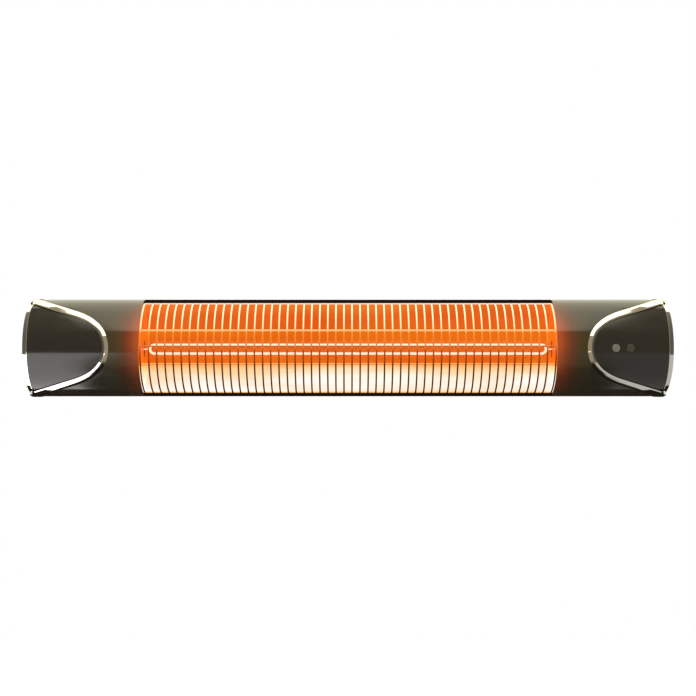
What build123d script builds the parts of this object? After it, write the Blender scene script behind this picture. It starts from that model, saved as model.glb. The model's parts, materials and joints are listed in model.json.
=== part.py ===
"""Wall-mounted infrared strip heater: a half-round body with a guarded carbon lamp on a tilting bracket.

Millimetres. The origin is the centre of the wall bracket's back face. +X runs along the heater,
to the right for a person facing it, +Y points into the wall and +Z up. The body hangs on its pivot
at y = PIVOT_Y and faces -Y.
"""

import math
import os

from build123d import *

os.makedirs("parts", exist_ok=True)

# Driving dimensions -----------------------------------------------------------------------------
HALF = 400.0  # half the length of the body
WINDOW = 257.0  # half the length of the guarded window
AXIS_Y = -87.0  # axis of the half-round front
BACK_Y = -62.0  # rear face of the body
SKIRT_Y = -72.0  # rear edge of the shells' straight skirts
SHELL_R = 61.5  # outside radius of the front shells
SHELL_T = 1.5
TRIM_R = 62.3  # the bright trim stands proud of the shells
INSERT_R = 60.6  # the black end inserts lie below the trim
INSERT_T = 2.0
TRIM_WIDTH = 7.2
CAP_NOSE = 294.0  # nearest point of the caps to the middle
GAP = 0.15  # gap between parts that lie side by side

SHEET = 1.2  # steel sheet of the rear tray
TRAY_Z = 59.5  # half the height of the rear tray
TRAY_FRONT_Y = -80.5
REFLECTOR_T = 0.8

WIRE = 2.0  # guard wire diameter
HOOP_R = 58.85  # centre line of the guard hoops
HOOP_PITCH = 10.0
HOOP_COUNT = 50
HOOP_FOOT_Y = -81.0
RAIL_R = HOOP_R - WIRE - 0.02
RAIL_ANGLES = (-82.0, -20.2, 2.1, 22.4, 82.0)

LAMP_Y = -97.0
LAMP_Z = -1.5
LAMP_LEG = 5.5  # half the distance between the filament's two legs
ENVELOPE = (23.0, 11.0)  # outside height and depth of the flat-oval quartz tube
ENVELOPE_HALF = 266.0

PIVOT_Y = -45.0
LOCK_R = 22.0  # distance of the lock stud from the pivot
TILT_MIN = -15.0
TILT_MAX = 45.0
PLATE = 2.5  # steel of the bracket and the hinge lugs
EAR_X = 82.0  # outside face of the bracket's ears
EAR_BASE_Z = 36.0
LUG_X = 79.0  # outside face of the hinge lugs
LUG_INNER_X = LUG_X - PLATE
STUD_Y = PIVOT_Y + LOCK_R

SCREW_R = 1.7  # case screws
SCREW_Y = -76.2  # line of the screws along the skirts
STRIP_SCREWS = (-220.0, -110.0, 0.0, 110.0, 220.0)
SHELL_SCREWS = (275.0, 380.0)
INSERT_SCREW_Z = 35.0

LENS = (329.0, -147.9)  # indicator lens: x, and y of its front
RECEIVER = (347.0, -147.9)
GLAND = (345.0, 25.0)  # x, z of the cable gland
BOARD_Y = -118.0
BOARD_X = 343.0
SWITCH_Y = -106.0
ROCKER_TILT = 10.0

SIDES = (("left", -1), ("right", 1))


# Helpers ----------------------------------------------------------------------------------------
def save(builder, name):
    """Label a finished piece and write it."""
    builder.part.label = name
    export_step(builder.part, f"parts/{name}.step")


def d_face(radius, back_y):
    """Section of the body: a half circle in front, closed by straight sides back to back_y."""
    with BuildSketch() as face:
        with BuildLine():
            Line((back_y, radius), (AXIS_Y, radius))
            ThreePointArc((AXIS_Y, radius), (AXIS_Y - radius, 0), (AXIS_Y, -radius))
            Line((AXIS_Y, -radius), (back_y, -radius))
            Line((back_y, -radius), (back_y, radius))
        make_face()
    return face.sketch


def cap_face(inset):
    """Bullet-shaped outline of the right end cap, seen from the front, its edge moved in by inset."""
    with BuildSketch() as face:
        with BuildLine():
            nose = JernArc((CAP_NOSE, 0), (0, 1), 41, -50)
            cheek = JernArc(nose @ 1, nose % 1, 62, -15)
            flank = JernArc(cheek @ 1, cheek % 1, 110, -8.5)
            arm = PolarLine(flank @ 1, 55, direction=flank % 1)
            Polyline(arm @ 1, ((arm @ 1).X, 90), (480, 90), (480, 0))
            mirror(about=Plane.XZ)
        make_face()
        if inset:
            offset(amount=-inset)
    return face.sketch


def insert_face(inset):
    """Outline of the black insert: inside the trim, and clear of the trim's arms along the corners."""
    with BuildSketch() as face:
        add(cap_face(TRIM_WIDTH + inset))
        Rectangle(1000, 2 * (58.5 - inset), mode=Mode.INTERSECT)
    return face.sketch


def sheet_face(points, thickness, bend):
    """Section of a bent sheet: the line through points with bend radii, thickened to its left."""
    with BuildSketch() as face:
        with BuildLine():
            FilletPolyline(*points, radius=bend)
            offset(amount=thickness, side=Side.LEFT)
        make_face()
    return face.sketch


def ear_face(centre_y, radius, base_y, base_z):
    """Outline of a flat ear: a round end tangent to two straight sides that widen to the base."""
    reach = abs(base_y - centre_y)
    tangent = math.atan2(base_z, reach) + math.acos(radius / math.hypot(base_z, reach))
    tangent = math.degrees(tangent)
    towards_base = 0 if base_y > centre_y else 180
    with BuildSketch() as face:
        with BuildLine():
            end = CenterArc((centre_y, 0), radius, towards_base + tangent, 360 - 2 * tangent)
            side_z = math.copysign(base_z, (end @ 0).Y)
            Polyline(end @ 1, (base_y, -side_z), (base_y, side_z), end @ 0)
        make_face()
    return face.sketch


def stadium(height, width):
    """Upright flat-oval outline centred on the lamp, in Y and Z."""
    with BuildSketch() as face:
        with Locations((LAMP_Y, LAMP_Z)):
            SlotOverall(height, width, rotation=90)
    return face.sketch


# Wall bracket -----------------------------------------------------------------------------------
lock_arc = CenterArc((PIVOT_Y, 0), LOCK_R, TILT_MIN - 1, TILT_MAX - TILT_MIN + 2)
with BuildPart() as wall_bracket:
    with BuildSketch(Plane.XY.offset(-EAR_BASE_Z)):
        add(sheet_face([(EAR_X, -70), (EAR_X, 0), (-EAR_X, 0), (-EAR_X, -70)], PLATE, 4))
    extrude(amount=2 * EAR_BASE_Z)
    with BuildSketch(Plane.YZ.offset(-EAR_X)):
        add(ear_face(PIVOT_Y, 15, 0, EAR_BASE_Z))
    extrude(amount=2 * EAR_X, mode=Mode.INTERSECT)
    with BuildSketch(Plane.YZ.offset(-EAR_X)):
        with Locations((PIVOT_Y, 0)):
            Circle(4.02)
        SlotArc(lock_arc, 6.6)
    extrude(amount=2 * EAR_X, mode=Mode.SUBTRACT)
    with BuildSketch(Plane.XZ):
        with GridLocations(100, 44, 2, 2):
            SlotOverall(14, 5.5)
        Circle(9)
    extrude(amount=PLATE, mode=Mode.SUBTRACT)
save(wall_bracket, "wall_bracket")

# Pivot bolts, nuts and washers -------------------------------------------------------------------
with BuildPart() as pivot_bolts:
    with BuildSketch(Plane.YZ.offset(EAR_X + 0.02)):
        with Locations((PIVOT_Y, 0)):
            Circle(6.5)
    extrude(amount=4.5)
    fillet(pivot_bolts.faces().sort_by(Axis.X)[-1].edges(), radius=1.5)
    with BuildSketch(Plane.YZ.offset(EAR_X + 4.6)):
        with Locations((PIVOT_Y, 0)):
            RegularPolygon(2.6, 6)
    extrude(amount=-2.6, mode=Mode.SUBTRACT)
    with BuildSketch(Plane.YZ.offset(EAR_X + 0.1)):
        with Locations((PIVOT_Y, 0)):
            Circle(4.0)
    extrude(amount=-13)
    mirror(about=Plane.YZ)
save(pivot_bolts, "pivot_bolts")

with BuildPart() as pivot_nuts:
    with BuildSketch(Plane.YZ.offset(LUG_INNER_X - 0.3)):
        with Locations((PIVOT_Y, 0)):
            RegularPolygon(6.5, 6, major_radius=False)
            Circle(4.02, mode=Mode.SUBTRACT)
    extrude(amount=-5.5)
    mirror(about=Plane.YZ)
save(pivot_nuts, "pivot_nuts")

with BuildPart() as pivot_washers:
    with BuildSketch(Plane.YZ.offset(LUG_X + 0.06)):
        with Locations((PIVOT_Y, 0)):
            Circle(8)
            Circle(4.05, mode=Mode.SUBTRACT)
    extrude(amount=0.4)
    mirror(about=Plane.YZ)
save(pivot_washers, "pivot_washers")

# Hinge lugs on the back of the body ---------------------------------------------------------------
LUG_SCREW_Z = 14.0
LUG_SCREW_X = 62.0
for side, sign in SIDES:
    with BuildPart() as hinge_lug:
        with BuildSketch(Plane.XY.offset(-24)):
            add(sheet_face([(52, BACK_Y), (LUG_X, BACK_Y), (LUG_X, -10)], PLATE, 4))
        extrude(amount=48)
        with BuildSketch(Plane.YZ.offset(40)):
            add(ear_face(STUD_Y, 9, BACK_Y, 24))
            with Locations((BACK_Y + PLATE / 2, 0)):
                Rectangle(PLATE, 48)
        extrude(amount=50, mode=Mode.INTERSECT)
        with BuildSketch(Plane.YZ.offset(LUG_INNER_X - 1)):
            with Locations((PIVOT_Y, 0)):
                Circle(4.05)
            with Locations((STUD_Y, 0)):
                Circle(3.0)
        extrude(amount=PLATE + 2, mode=Mode.SUBTRACT)
        with BuildSketch(Plane.XZ.offset(-BACK_Y)):
            with Locations((LUG_SCREW_X, LUG_SCREW_Z), (LUG_SCREW_X, -LUG_SCREW_Z)):
                Circle(2.55)
        extrude(amount=-PLATE, mode=Mode.SUBTRACT)
        if sign < 0:
            mirror(about=Plane.YZ, mode=Mode.REPLACE)
    save(hinge_lug, f"{side}_hinge_lug")

LUG_SCREW_SPOTS = [
    (sign * LUG_SCREW_X, up * LUG_SCREW_Z) for _, sign in SIDES for up in (-1, 1)
]
with BuildPart() as lug_screws:
    with BuildSketch(Plane.XZ.offset(-BACK_Y - PLATE)):
        with Locations(*LUG_SCREW_SPOTS):
            Circle(4.6)
    extrude(amount=-3.2)
    fillet(lug_screws.faces().sort_by(Axis.Y)[-4:].edges(), radius=1.4)
    with BuildSketch(Plane.XZ.offset(-BACK_Y - PLATE - 3.3)):
        with Locations(*LUG_SCREW_SPOTS):
            RegularPolygon(1.7, 6)
    extrude(amount=1.9, mode=Mode.SUBTRACT)
    with BuildSketch(Plane.XZ.offset(-BACK_Y - PLATE - 0.1)):
        with Locations(*LUG_SCREW_SPOTS):
            Circle(2.5)
    extrude(amount=8)
save(lug_screws, "lug_screws")

with BuildPart() as lug_nuts:
    with BuildSketch(Plane.XZ.offset(-BACK_Y + SHEET + 0.02)):
        with Locations(*LUG_SCREW_SPOTS):
            RegularPolygon(4, 6, major_radius=False)
            Circle(2.52, mode=Mode.SUBTRACT)
    extrude(amount=3.9)
save(lug_nuts, "lug_nuts")

# Lock: stud in the lug, washer and star knob outside the bracket's ear -----------------------------
with BuildPart() as lock_studs:
    with BuildSketch(Plane.YZ.offset(LUG_INNER_X)):
        with Locations((STUD_Y, 0)):
            RegularPolygon(5, 6, major_radius=False)
    extrude(amount=-4)
    with BuildSketch(Plane.YZ.offset(LUG_INNER_X - 1)):
        with Locations((STUD_Y, 0)):
            Circle(2.99)
    extrude(amount=18)
    mirror(about=Plane.YZ)
save(lock_studs, "lock_studs")

with BuildPart() as lock_washers:
    with BuildSketch(Plane.YZ.offset(EAR_X + 0.3)):
        with Locations((STUD_Y, 0)):
            Circle(7.5)
            Circle(3.0, mode=Mode.SUBTRACT)
    extrude(amount=1.2)
    mirror(about=Plane.YZ)
save(lock_washers, "lock_washers")

KNOB_X = EAR_X + 1.8
for side, sign in SIDES:
    with BuildPart() as lock_knob:
        with BuildSketch(Plane.YZ.offset(KNOB_X)):
            with Locations((STUD_Y, 0)):
                Circle(8.5)
        extrude(amount=3)
        with BuildSketch(Plane.YZ.offset(KNOB_X + 3)):
            with Locations((STUD_Y, 0)):
                Circle(14)
                with PolarLocations(16.2, 6, start_angle=30):
                    Circle(4.4, mode=Mode.SUBTRACT)
        extrude(amount=10)
        fillet(lock_knob.edges().filter_by(Plane.YZ).group_by(Axis.X)[-1], radius=1.2)
        with BuildSketch(Plane.YZ.offset(KNOB_X)):
            with Locations((STUD_Y, 0)):
                Circle(3.05)
        extrude(amount=11, mode=Mode.SUBTRACT)
        if sign < 0:
            mirror(about=Plane.YZ, mode=Mode.REPLACE)
    save(lock_knob, f"{side}_lock_knob")

# Rear tray --------------------------------------------------------------------------------------
TRAY_X = HALF - 2.7  # outside face of the tray's end walls
CASE_SCREWS = list(STRIP_SCREWS) + [sign * x for _, sign in SIDES for x in SHELL_SCREWS]
with BuildPart() as rear_tray:
    with BuildSketch(Plane.XZ.offset(-BACK_Y)):
        RectangleRounded(2 * TRAY_X, 2 * TRAY_Z, 3)
    extrude(amount=BACK_Y - TRAY_FRONT_Y)
    fillet(rear_tray.faces().sort_by(Axis.Y)[-1].edges(), radius=2.2)
    with BuildSketch(Plane.XZ.offset(-BACK_Y + SHEET)):
        RectangleRounded(2 * (TRAY_X - SHEET), 2 * (TRAY_Z - SHEET), 1.8)
    extrude(amount=30, mode=Mode.SUBTRACT)
    with BuildSketch(Plane.XZ.offset(-BACK_Y)):
        with Locations(*LUG_SCREW_SPOTS):
            Circle(2.55)
        with Locations(GLAND):
            Circle(8.1)
    extrude(amount=SHEET, mode=Mode.SUBTRACT)
    with BuildSketch(Plane.XY.offset(-TRAY_Z)):
        with Locations(*[(x, SCREW_Y) for x in CASE_SCREWS]):
            Circle(SCREW_R + 0.02)
    extrude(amount=2 * TRAY_Z, mode=Mode.SUBTRACT)
    with BuildSketch(Plane.YZ.offset(-TRAY_X)):
        with Locations((SCREW_Y, INSERT_SCREW_Z), (SCREW_Y, -INSERT_SCREW_Z)):
            Circle(SCREW_R + 0.02)
    extrude(amount=2 * TRAY_X, mode=Mode.SUBTRACT)
save(rear_tray, "rear_tray")

# Front shells -----------------------------------------------------------------------------------
HEAD_R = 2.9
SINK = 0.05  # the screw heads lie this far below the surface
for side, sign in SIDES:
    with BuildPart() as front_shell:
        with BuildSketch(Plane.YZ.offset(WINDOW)):
            add(d_face(SHELL_R, SKIRT_Y))
            add(d_face(SHELL_R - SHELL_T, SKIRT_Y), mode=Mode.SUBTRACT)
        extrude(amount=HALF - WINDOW)
        with BuildSketch(Plane.XZ.offset(60)):
            add(cap_face(-GAP))
        extrude(amount=120, mode=Mode.SUBTRACT)
        for up in (1, -1):
            with Locations(
                *[
                    Plane((x, SCREW_Y, up * SHELL_R), x_dir=(1, 0, 0), z_dir=(0, 0, up))
                    for x in SHELL_SCREWS
                ]
            ):
                CounterSinkHole(SCREW_R + 0.1, HEAD_R + 0.3, depth=4, counter_sink_angle=90)
        if sign < 0:
            mirror(about=Plane.YZ, mode=Mode.REPLACE)
    save(front_shell, f"{side}_front_shell")

# Strips above and below the window -----------------------------------------------------------------
STRIP_T = 1.5
STRIP_WRAP = 20.0  # degrees of the front arc that a strip covers
for name, up in (("top", 1), ("bottom", -1)):
    with BuildPart() as window_strip:
        with BuildSketch(Plane.YZ.offset(-WINDOW + GAP)):
            with BuildLine():
                Line((SKIRT_Y, SHELL_R), (AXIS_Y, SHELL_R))
                CenterArc((AXIS_Y, 0), SHELL_R, 90, STRIP_WRAP)
                offset(amount=STRIP_T, side=Side.LEFT)
            make_face()
        extrude(amount=2 * (WINDOW - GAP))
        with Locations(
            *[Plane((x, SCREW_Y, SHELL_R), x_dir=(1, 0, 0), z_dir=(0, 0, 1)) for x in STRIP_SCREWS]
        ):
            CounterSinkHole(SCREW_R + 0.1, HEAD_R + 0.3, depth=4, counter_sink_angle=90)
        if up < 0:
            mirror(about=Plane.XY, mode=Mode.REPLACE)
    save(window_strip, f"{name}_window_strip")

# Countersunk case screws ----------------------------------------------------------------------------
with BuildPart() as screw:
    with BuildSketch(Plane.XZ):
        with BuildLine():
            Polyline(
                (0, 0), (HEAD_R, 0), (SCREW_R, SCREW_R - HEAD_R), (SCREW_R, -6.0),
                (0, -6.0), (0, 0),
            )
        make_face()
    revolve(axis=Axis.Z)
    with BuildSketch(Plane.XY):
        Rectangle(3.4, 0.7)
        Rectangle(0.7, 3.4)
    extrude(amount=-1.0, mode=Mode.SUBTRACT)

with BuildPart() as case_screws:
    for up in (1, -1):
        with Locations(
            *[
                Plane((x, SCREW_Y, up * (SHELL_R - SINK)), x_dir=(1, 0, 0), z_dir=(0, 0, up))
                for x in CASE_SCREWS
            ]
        ):
            add(screw.part)
save(case_screws, "case_screws")

with BuildPart() as insert_screws:
    for _, sign in SIDES:
        with Locations(
            *[
                Plane((sign * (HALF - SINK), SCREW_Y, z), x_dir=(0, 1, 0), z_dir=(sign, 0, 0))
                for z in (INSERT_SCREW_Z, -INSERT_SCREW_Z)
            ]
        ):
            add(screw.part)
save(insert_screws, "insert_screws")

# Bright trims: a bullet-shaped band round each insert, closed by a hoop round the end -----------------
TRIM_T = 2.6
END_BAND = 5.6  # width of the end hoop
END_BAND_T = 2.1
ARM_END = 386.0  # the bevels stop here, where the band folds round the corners
BEVELS = ((0, 3.6, 1.0), (1, 2.6, 0.9))  # outer and inner: width on the face, and depth
def rim_edges(piece, outline):
    """The piece's outer round face, and those of its edges that follow an outline seen from the front."""
    skin = piece.faces().filter_by(GeomType.CYLINDER).sort_by(lambda f: f.bounding_box().min.Y)[0]
    rim = outline.wire()
    middles = [(edge, edge @ 0.5) for edge in skin.edges()]
    near = [e for e, m in middles if m.X < ARM_END and rim.distance_to(Vector(m.X, m.Z, 0)) < 0.01]
    return skin, near


with BuildPart() as tray_room:
    with BuildSketch(Plane.XZ.offset(-BACK_Y)):
        Rectangle(2 * (TRAY_X + GAP), 2 * (TRAY_Z + GAP))
    extrude(amount=BACK_Y - TRAY_FRONT_Y + GAP)

with BuildPart() as end_hoop:
    with BuildSketch(Plane.YZ.offset(HALF - END_BAND)):
        add(d_face(INSERT_R, SKIRT_Y))
    extrude(amount=END_BAND)
    rim = end_hoop.edges().filter_by(Plane.YZ).group_by(Axis.X)[-1].sort_by(Axis.Y)[:-1]
    chamfer(rim, length=1.5, length2=END_BAND - 0.6, reference=end_hoop.faces().sort_by(Axis.X)[-1])
    with BuildSketch(Plane.YZ.offset(HALF - END_BAND)):
        add(d_face(INSERT_R - END_BAND_T, SKIRT_Y + 5))
    extrude(amount=END_BAND, mode=Mode.SUBTRACT)
    add(tray_room.part, mode=Mode.SUBTRACT)

for side, sign in SIDES:
    with BuildPart() as trim:
        with BuildSketch(Plane.YZ.offset(290)):
            add(d_face(TRIM_R, SKIRT_Y))
        extrude(amount=HALF + 1.5 - 290)
        fillet(trim.edges().filter_by(Plane.YZ).group_by(Axis.X)[-1].sort_by(Axis.Y)[:-1], radius=2.4)
        with BuildSketch(Plane.YZ.offset(289)):
            add(d_face(TRIM_R - TRIM_T, SKIRT_Y + 5))
        extrude(amount=120, mode=Mode.SUBTRACT)
        with BuildSketch(Plane.XZ.offset(60)):
            add(cap_face(0))
            add(insert_face(0), mode=Mode.SUBTRACT)
        extrude(amount=120, mode=Mode.INTERSECT)
        for inner, width, depth in BEVELS:
            skin, rim = rim_edges(trim, insert_face(0) if inner else cap_face(0))
            chamfer(rim, length=width, length2=depth, reference=skin)
        add(end_hoop.part)
        if sign < 0:
            mirror(about=Plane.YZ, mode=Mode.REPLACE)
    save(trim, f"{side}_trim")

# Black end inserts --------------------------------------------------------------------------------
END_T = 2.5
SWITCH_CUT = (19.2, 27.0)
BOSS_SPOTS = [(BOARD_X + dx, dz) for dx in (-24, 28) for dz in (-20, 20)]
with BuildPart() as insert_limits:
    with BuildSketch(Plane.XZ.offset(60)):
        add(insert_face(GAP))
    extrude(amount=120)
    with BuildSketch(Plane.YZ.offset(HALF - END_BAND - GAP)):
        add(d_face(TRIM_R, SKIRT_Y))
    extrude(amount=END_BAND + GAP + 1, mode=Mode.SUBTRACT)
    with BuildSketch(Plane.YZ.offset(HALF - END_BAND - GAP)):
        add(d_face(INSERT_R - END_BAND_T - GAP, SKIRT_Y))
    extrude(amount=END_BAND + GAP)

for side, sign in SIDES:
    with BuildPart() as insert:
        with BuildSketch(Plane.YZ.offset(285)):
            add(d_face(INSERT_R, SKIRT_Y))
        extrude(amount=HALF - 285)
        with BuildSketch(Plane.YZ.offset(284)):
            add(d_face(INSERT_R - INSERT_T, SKIRT_Y + 5))
        extrude(amount=HALF - END_BAND - INSERT_T - 284, mode=Mode.SUBTRACT)
        with BuildSketch(Plane.YZ.offset(HALF - END_BAND - INSERT_T - 1)):
            add(d_face(INSERT_R - END_BAND_T - GAP - INSERT_T, SKIRT_Y + 5))
        extrude(amount=END_BAND + INSERT_T + 1 - END_T, mode=Mode.SUBTRACT)
        add(insert_limits.part, mode=Mode.INTERSECT)
        add(tray_room.part, mode=Mode.SUBTRACT)
        with Locations(
            *[
                Plane((HALF, SCREW_Y, z), x_dir=(0, 1, 0), z_dir=(1, 0, 0))
                for z in (INSERT_SCREW_Z, -INSERT_SCREW_Z)
            ]
        ):
            CounterSinkHole(SCREW_R + 0.1, HEAD_R + 0.3, depth=4, counter_sink_angle=90)
        if sign > 0:
            with BuildSketch(Plane.XZ.offset(-BOARD_Y + 0.85)):
                with Locations(*BOSS_SPOTS):
                    Circle(3.2)
            extrude(until=Until.NEXT)
            with BuildSketch(Plane.XZ.offset(-BOARD_Y)):
                with Locations(*BOSS_SPOTS):
                    Circle(1.25)
            extrude(amount=8, mode=Mode.SUBTRACT)
            with BuildSketch(Plane.XZ.offset(130)):
                with Locations((LENS[0], 0), (RECEIVER[0], 0)):
                    Circle(5.05)
            extrude(amount=30, mode=Mode.SUBTRACT)
            with BuildSketch(Plane.YZ.offset(HALF - 10)):
                with Locations((SWITCH_Y, 0)):
                    Rectangle(*SWITCH_CUT)
            extrude(amount=20, mode=Mode.SUBTRACT)
        else:
            mirror(about=Plane.YZ, mode=Mode.REPLACE)
    save(insert, f"{side}_end_insert")

# Indicator lens and receiver window -----------------------------------------------------------------
for (x, front_y), name in ((LENS, "indicator_lens"), (RECEIVER, "receiver_window")):
    with BuildPart() as lens:
        with BuildSketch(Plane.XZ.offset(139)):
            with Locations((x, 0)):
                Circle(6.4)
        extrude(amount=5)
        with BuildSketch(Plane.XZ.offset(140)):
            with Locations((x, 0)):
                Circle(4.95)
        extrude(amount=-front_y - 140)
        fillet(lens.faces().sort_by(Axis.Y)[0].edges(), radius=0.8)
        with BuildSketch(Plane.XZ.offset(139)):
            with Locations((x, 0)):
                Circle(3.6)
        extrude(amount=6, mode=Mode.SUBTRACT)
    save(lens, name)

# Control board and what it carries ------------------------------------------------------------------
BOARD_T = 1.6
with BuildPart() as control_board:
    with BuildSketch(Plane.XZ.offset(-BOARD_Y - BOARD_T / 2)):
        with Locations((BOARD_X + 2, 0)):
            RectangleRounded(64, 52, 2)
        with Locations(*BOSS_SPOTS):
            Circle(1.6, mode=Mode.SUBTRACT)
    extrude(amount=BOARD_T)
save(control_board, "control_board")

with BuildPart() as board_screws:
    with BuildSketch(Plane.XZ.offset(-BOARD_Y - BOARD_T / 2 - 0.02)):
        with Locations(*BOSS_SPOTS):
            Circle(2.8)
    extrude(amount=-2)
    fillet(board_screws.faces().sort_by(Axis.Y)[-4:].edges(), radius=0.8)
    with BuildSketch(Plane.XZ.offset(-BOARD_Y - BOARD_T / 2 - 0.1)):
        with Locations(*BOSS_SPOTS):
            Circle(1.24)
    extrude(amount=7)
save(board_screws, "board_screws")

BOARD_FRONT = -BOARD_Y + BOARD_T / 2 + 0.02
BOARD_REAR = -BOARD_Y - BOARD_T / 2 - 0.02
with BuildPart() as indicator_led:
    with BuildSketch(Plane.XZ.offset(BOARD_FRONT)):
        with Locations((LENS[0], 0)):
            Circle(2.9)
    extrude(amount=14)
    with BuildSketch(Plane.XZ.offset(BOARD_FRONT + 14)):
        with Locations((LENS[0], 0)):
            Circle(2.5)
    extrude(amount=7)
    fillet(indicator_led.faces().sort_by(Axis.Y)[0].edges(), radius=2.4)
save(indicator_led, "indicator_led")

with BuildPart() as infrared_receiver:
    with BuildSketch(Plane.XZ.offset(BOARD_FRONT)):
        with Locations((RECEIVER[0], 0)):
            Rectangle(6, 7)
    extrude(amount=13)
    with Locations((RECEIVER[0], -BOARD_FRONT - 13, 0)):
        Sphere(2.6)
save(infrared_receiver, "infrared_receiver")

with BuildPart() as power_relay:
    with BuildSketch(Plane.XZ.offset(BOARD_REAR)):
        with Locations((BOARD_X + 3, -13)):
            Rectangle(29, 13)
    extrude(amount=-16)
    fillet(power_relay.edges().filter_by(Axis.Y), radius=0.8)
save(power_relay, "power_relay")

with BuildPart() as supply_capacitor:
    with BuildSketch(Plane.XZ.offset(BOARD_REAR)):
        with Locations((BOARD_X - 12, 12)):
            Circle(6)
    extrude(amount=-15)
    fillet(supply_capacitor.faces().sort_by(Axis.Y)[-1].edges(), radius=1)
save(supply_capacitor, "supply_capacitor")

# Terminal block -------------------------------------------------------------------------------------
TERMINAL = (318.0, -4.0)
TRAY_INNER_Y = BACK_Y - SHEET
with BuildPart() as terminal_block:
    with BuildSketch(Plane.XZ.offset(-TRAY_INNER_Y + 0.02)):
        with Locations(TERMINAL):
            Rectangle(18, 34)
    extrude(amount=17)
    with BuildSketch(Plane.XZ.offset(-TRAY_INNER_Y + 17.02)):
        with Locations(TERMINAL):
            with GridLocations(1, 10.5, 1, 3):
                Circle(2.6)
    extrude(amount=-6, mode=Mode.SUBTRACT)
    with BuildSketch(Plane.XZ.offset(-TRAY_INNER_Y + 11)):
        with Locations(TERMINAL):
            with GridLocations(1, 10.5, 1, 3):
                Circle(2.6)
    extrude(amount=3)
save(terminal_block, "terminal_block")

# Cable gland ----------------------------------------------------------------------------------------
with BuildPart() as gland_body:
    with BuildSketch(Plane.XZ.offset(-BACK_Y)):
        with Locations(GLAND):
            RegularPolygon(11, 6, major_radius=False)
    extrude(amount=-5)
    with BuildSketch(Plane.XZ.offset(-BACK_Y - 5)):
        with Locations(GLAND):
            Circle(8)
    extrude(amount=-6)
    with BuildSketch(Plane.XZ.offset(-BACK_Y - 1)):
        with Locations(GLAND):
            Circle(8)
    extrude(amount=9.5)
    with BuildSketch(Plane.XZ.offset(-BACK_Y + 20)):
        with Locations(GLAND):
            Circle(6)
    extrude(amount=-40, mode=Mode.SUBTRACT)
save(gland_body, "gland_body")

with BuildPart() as gland_locknut:
    with BuildSketch(Plane.XZ.offset(-TRAY_INNER_Y + 0.02)):
        with Locations(GLAND):
            RegularPolygon(11, 6, major_radius=False)
            Circle(8.02, mode=Mode.SUBTRACT)
    extrude(amount=4.5)
save(gland_locknut, "gland_locknut")

with BuildPart() as gland_seal:
    with BuildSketch(Plane.XZ.offset(-BACK_Y - 2)):
        with Locations(GLAND):
            Circle(5.95)
            Circle(4.2, mode=Mode.SUBTRACT)
    extrude(amount=-11)
save(gland_seal, "gland_seal")

with BuildPart() as gland_nut:
    with BuildSketch(Plane.XZ.offset(-BACK_Y - 5.1)):
        with Locations(GLAND):
            RegularPolygon(10.5, 6, major_radius=False)
    extrude(amount=-7)
    with BuildSketch(Plane.XZ.offset(-BACK_Y - 12.1)):
        with Locations(GLAND):
            Circle(9.8)
    extrude(amount=-4)
    fillet(gland_nut.faces().sort_by(Axis.Y)[-1].edges(), radius=3)
    with BuildSketch(Plane.XZ.offset(-BACK_Y - 4)):
        with Locations(GLAND):
            Circle(8.05)
    extrude(amount=-9.2, mode=Mode.SUBTRACT)
    with BuildSketch(Plane.XZ.offset(-BACK_Y - 4)):
        with Locations(GLAND):
            Circle(4.6)
    extrude(amount=-20, mode=Mode.SUBTRACT)
save(gland_nut, "gland_nut")

# Mains rocker switch in the right end -----------------------------------------------------------------
ROCKER_X = HALF + 1.0
with BuildPart() as switch_frame:
    with BuildSketch(Plane.YZ.offset(HALF + 0.02)):
        with Locations((SWITCH_Y, 0)):
            RectangleRounded(23, 31, 2)
    extrude(amount=2)
    fillet(switch_frame.faces().sort_by(Axis.X)[-1].edges(), radius=0.8)
    with BuildSketch(Plane.YZ.offset(HALF + 0.5)):
        with Locations((SWITCH_Y, 0)):
            Rectangle(19, 26.8)
    extrude(amount=-22)
    with BuildSketch(Plane.YZ.offset(HALF + 5)):
        with Locations((SWITCH_Y, 0)):
            Rectangle(15.4, 24.4)
    extrude(amount=-16, mode=Mode.SUBTRACT)
    with BuildSketch(Plane.XZ.offset(-SWITCH_Y - 9)):
        with Locations((ROCKER_X, 0)):
            Circle(1.55)
    extrude(amount=18, mode=Mode.SUBTRACT)
    with BuildSketch(Plane.YZ.offset(HALF - 21.4)):
        with Locations((SWITCH_Y, 8), (SWITCH_Y, 0), (SWITCH_Y, -8)):
            Rectangle(6.3, 0.8)
    extrude(amount=-9)
save(switch_frame, "switch_frame")

with BuildPart() as switch_rocker:
    with BuildSketch(Plane.XZ.offset(-SWITCH_Y - 7.4)):
        with BuildLine():
            Polyline(
                (2.0, 11.6), (0.8, 0), (2.0, -11.6), (-2.0, -11.6), (-7.0, -5),
                (-7.0, 5), (-2.0, 11.6), (2.0, 11.6),
            )
        make_face()
    extrude(amount=14.8)
    with BuildSketch(Plane.XZ.offset(-SWITCH_Y - 8.8)):
        Circle(1.5)
    extrude(amount=17.6)
turned = Pos(ROCKER_X, 0, 0) * Rot(0, -ROCKER_TILT, 0) * switch_rocker.part
with BuildPart() as switch_rocker:
    add(turned)
save(switch_rocker, "switch_rocker")

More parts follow.
